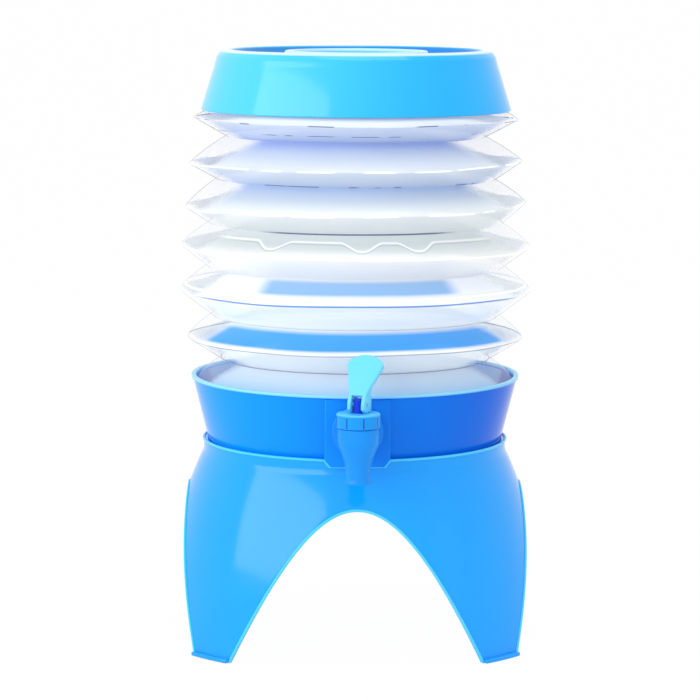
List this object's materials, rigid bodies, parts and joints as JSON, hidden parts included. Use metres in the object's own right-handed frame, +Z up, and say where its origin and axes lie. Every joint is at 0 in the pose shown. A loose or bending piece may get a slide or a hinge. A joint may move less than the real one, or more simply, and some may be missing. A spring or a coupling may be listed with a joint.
{
  "type": "collapsible water container",
  "caption": "Folding clear bellows water container with a blue lid, a blue base cup with a push-lever tap, and a blue arched stand.",
  "frame": {"origin": "centre of the bounding box at the table, with the stand's feet on it", "axes": "+Z up along the vessel's axis, +X to the right seen from the front, and the tap on the -Y side"},
  "size_m": [0.2108, 0.2396, 0.3524],
  "materials": {
    "blue_plastic": "glossy, faintly see-through",
    "clear_soft": "clear and soft",
    "clear_stiff": "clear",
    "silicone": "matte",
    "spring_steel": "plain"
  },
  "bodies": {
    "stand": {"stand": "blue_plastic"},
    "container": {"base_cup": "blue_plastic", "bellows": "clear_soft", "tap_body": "blue_plastic", "tap_collar": "blue_plastic", "tap_gasket": "silicone", "inner_gasket": "silicone", "tap_nut": "blue_plastic"},
    "top": {"neck_ring": "clear_stiff"},
    "lid": {"lid": "blue_plastic", "lid_gasket": "silicone"},
    "turn": {"valve_spring": "spring_steel"},
    "stem": {"valve_stem": "blue_plastic", "valve_plug": "silicone"},
    "lever": {"lever": "blue_plastic", "lever_pin": "blue_plastic"}
  },
  "joints": [
    {"name": "container_lift", "type": "slide", "parent": "stand", "child": "container", "axis": [0, 0, 1], "range_m": [0, 0.06]},
    {"name": "bellows_collapse", "type": "slide", "parent": "container", "child": "top", "axis": [0, 0, 1], "range_m": [-0.125, 0], "deforming": ["bellows"]},
    {"name": "lid_lift", "type": "slide", "parent": "top", "child": "lid", "axis": [0, 0, 1], "range_m": [0, 0.06]},
    {"name": "lever_turn", "type": "hinge", "parent": "container", "child": "turn", "pos_m": [0, -0.1071, 0.1512], "axis": [0, 0, 1], "continuous": true},
    {"name": "stem_lift", "type": "slide", "parent": "turn", "child": "stem", "axis": [0, 0, 1], "range_m": [0, 0.002], "deforming": ["valve_spring"]},
    {"name": "lever_tilt", "type": "hinge", "parent": "stem", "child": "lever", "pos_m": [0, -0.1071, 0.1561], "axis": [0.9063, -0.4226, 0], "range_deg": [0, 50], "stiffness_Nm_per_rad": 0.0026, "springref_deg": -74.48}
  ],
  "couplings": [
    {"joint": "lever_tilt", "follows": "stem_lift", "rad_per_m": 436.3}
  ]
}
